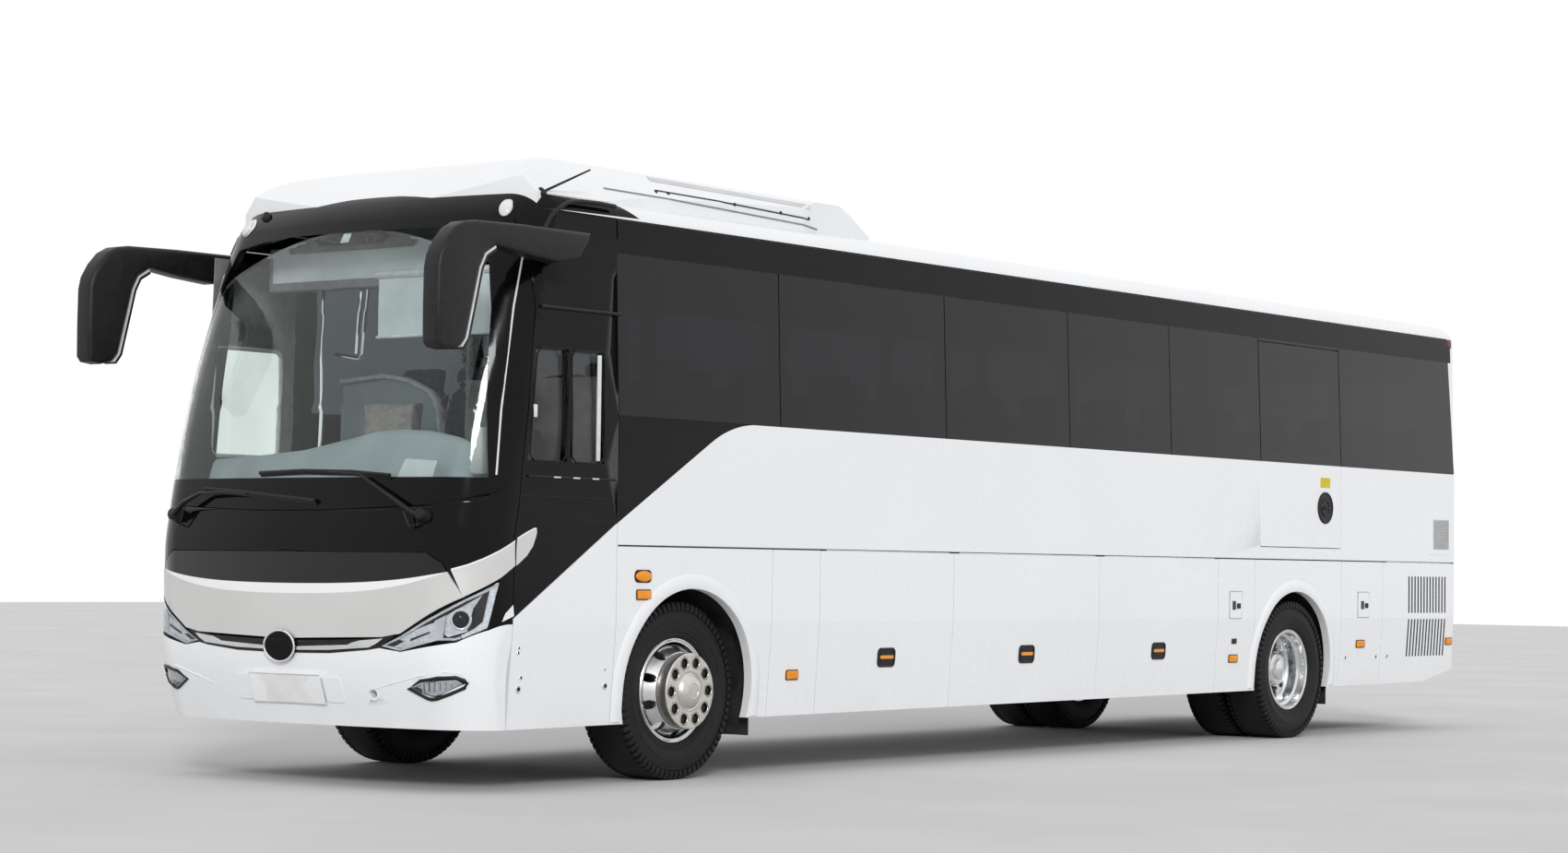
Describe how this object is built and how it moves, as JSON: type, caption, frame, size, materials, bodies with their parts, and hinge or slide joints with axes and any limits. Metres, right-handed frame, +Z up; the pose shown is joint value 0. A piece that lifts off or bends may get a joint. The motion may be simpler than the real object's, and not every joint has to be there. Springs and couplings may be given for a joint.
{
  "type": "coach bus",
  "caption": "Long-distance coach with a raked windscreen, black glazed upper body, luggage flaps, emergency door, roof pod, steered front wheels and twin rear wheels.",
  "frame": {"origin": "on the ground, at the centre of the bounding box", "axes": "+X to the bus's left side, +Y to its rear, +Z up"},
  "size_m": [2.84, 12.3237, 3.6048],
  "materials": {
    "white_paint": "satin",
    "silver_paint": "satin",
    "black_gloss": "polished",
    "clear_glass": "polished",
    "tinted_glass": "polished",
    "lamp_lens": "polished",
    "red_lens": "polished",
    "amber_lens": "polished",
    "black_matte": "matte",
    "dark_grey_plastic": "matte",
    "grey_plastic": "satin",
    "seat_fabric": "matte",
    "chassis_paint": "matte",
    "sheet_aluminium": "satin",
    "floor_vinyl": "matte",
    "cast_iron": "matte",
    "silver_wheel": "satin",
    "tyre": "matte"
  },
  "bodies": {
    "body": {"front_bumper": "white_paint", "lower_panels": "white_paint", "side_panels": "white_paint", "roof": "white_paint", "roof_pod": "white_paint", "rear_wall": "white_paint", "front_mask": "black_gloss", "front_cap": "black_gloss", "window_bands": "black_gloss", "entrance_door": "black_gloss", "windscreen": "clear_glass", "tinted_glass": "tinted_glass", "headlights": "lamp_lens", "rear_lamps": "red_lens", "amber_lamps": "amber_lens", "mirrors": "black_matte", "wipers": "black_matte", "wheel_liners": "black_matte", "dashboard": "dark_grey_plastic", "steering_wheel": "black_matte", "partition": "grey_plastic", "seats": "seat_fabric", "chassis_frames": "chassis_paint", "luggage_deck": "sheet_aluminium", "cabin_floor": "floor_vinyl", "engine": "cast_iron", "axles": "chassis_paint"},
    "front_flap_body": {"front_flap": "silver_paint"},
    "exit_door_body": {"emergency_door": "black_gloss", "emergency_glass": "tinted_glass"},
    "engine_lid_body": {"engine_lid": "white_paint"},
    "left_engine_door_body": {"left_engine_door": "white_paint"},
    "right_engine_door_body": {"right_engine_door": "white_paint"},
    "left_knuckle_body": {"left_knuckle": "chassis_paint"},
    "right_knuckle_body": {"right_knuckle": "chassis_paint"},
    "front_left_wheel": {"front_left_rim": "silver_wheel", "front_left_tyre": "tyre"},
    "front_right_wheel": {"front_right_rim": "silver_wheel", "front_right_tyre": "tyre"},
    "rear_left_wheels": {"rear_left_rims": "silver_wheel", "rear_left_tyres": "tyre"},
    "rear_right_wheels": {"rear_right_rims": "silver_wheel", "rear_right_tyres": "tyre"},
    "left_luggage_flap_1_body": {"left_luggage_flap_1": "white_paint"},
    "left_luggage_flap_2_body": {"left_luggage_flap_2": "white_paint"},
    "left_luggage_flap_3_body": {"left_luggage_flap_3": "white_paint"},
    "right_luggage_flap_1_body": {"right_luggage_flap_1": "white_paint"},
    "right_luggage_flap_2_body": {"right_luggage_flap_2": "white_paint"},
    "right_luggage_flap_3_body": {"right_luggage_flap_3": "white_paint"}
  },
  "joints": [
    {"name": "left_luggage_flap_1_hinge", "type": "hinge", "parent": "body", "child": "left_luggage_flap_1_body", "pos_m": [1.275, -1.923, 1.333], "axis": [0, -1, 0], "range_deg": [0, 88]},
    {"name": "left_luggage_flap_2_hinge", "type": "hinge", "parent": "body", "child": "left_luggage_flap_2_body", "pos_m": [1.275, -0.3275, 1.333], "axis": [0, -1, 0], "range_deg": [0, 88]},
    {"name": "left_luggage_flap_3_hinge", "type": "hinge", "parent": "body", "child": "left_luggage_flap_3_body", "pos_m": [1.275, 1.367, 1.333], "axis": [0, -1, 0], "range_deg": [0, 88]},
    {"name": "left_engine_door_hinge", "type": "hinge", "parent": "body", "child": "left_engine_door_body", "pos_m": [1.275, 5.4045, 1.333], "axis": [0, -1, 0], "range_deg": [0, 88]},
    {"name": "right_luggage_flap_1_hinge", "type": "hinge", "parent": "body", "child": "right_luggage_flap_1_body", "pos_m": [-1.275, -1.923, 1.333], "axis": [0, 1, 0], "range_deg": [0, 88]},
    {"name": "right_luggage_flap_2_hinge", "type": "hinge", "parent": "body", "child": "right_luggage_flap_2_body", "pos_m": [-1.275, -0.3275, 1.333], "axis": [0, 1, 0], "range_deg": [0, 88]},
    {"name": "right_luggage_flap_3_hinge", "type": "hinge", "parent": "body", "child": "right_luggage_flap_3_body", "pos_m": [-1.275, 1.367, 1.333], "axis": [0, 1, 0], "range_deg": [0, 88]},
    {"name": "right_engine_door_hinge", "type": "hinge", "parent": "body", "child": "right_engine_door_body", "pos_m": [-1.275, 5.4045, 1.333], "axis": [0, 1, 0], "range_deg": [0, 88]},
    {"name": "front_flap_hinge", "type": "hinge", "parent": "body", "child": "front_flap_body", "pos_m": [0, -5.861, 1.281], "axis": [-1, 0, 0], "range_deg": [0, 75]},
    {"name": "exit_door_hinge", "type": "hinge", "parent": "body", "child": "exit_door_body", "pos_m": [1.275, 2.804, 1.8], "axis": [0, 0, -1], "range_deg": [0, 100]},
    {"name": "engine_lid_hinge", "type": "hinge", "parent": "body", "child": "engine_lid_body", "pos_m": [0, 6.161, 1.503], "axis": [1, 0, 0], "range_deg": [0, 80]},
    {"name": "left_steering", "type": "hinge", "parent": "body", "child": "left_knuckle_body", "pos_m": [0.85, -3.86, 0.512], "axis": [0, 0, 1], "range_deg": [-42, 42]},
    {"name": "front_left_wheel_spin", "type": "hinge", "parent": "left_knuckle_body", "child": "front_left_wheel", "pos_m": [1.02, -3.86, 0.512], "axis": [1, 0, 0], "continuous": true},
    {"name": "rear_left_wheels_spin", "type": "hinge", "parent": "body", "child": "rear_left_wheels", "pos_m": [0.92, 3.35, 0.512], "axis": [1, 0, 0], "continuous": true},
    {"name": "right_steering", "type": "hinge", "parent": "body", "child": "right_knuckle_body", "pos_m": [-0.85, -3.86, 0.512], "axis": [0, 0, 1], "range_deg": [-42, 42]},
    {"name": "front_right_wheel_spin", "type": "hinge", "parent": "right_knuckle_body", "child": "front_right_wheel", "pos_m": [-1.02, -3.86, 0.512], "axis": [1, 0, 0], "continuous": true},
    {"name": "rear_right_wheels_spin", "type": "hinge", "parent": "body", "child": "rear_right_wheels", "pos_m": [-0.92, 3.35, 0.512], "axis": [1, 0, 0], "continuous": true}
  ],
  "couplings": [
    {"joint": "right_steering", "follows": "left_steering", "ratio": 1}
  ]
}
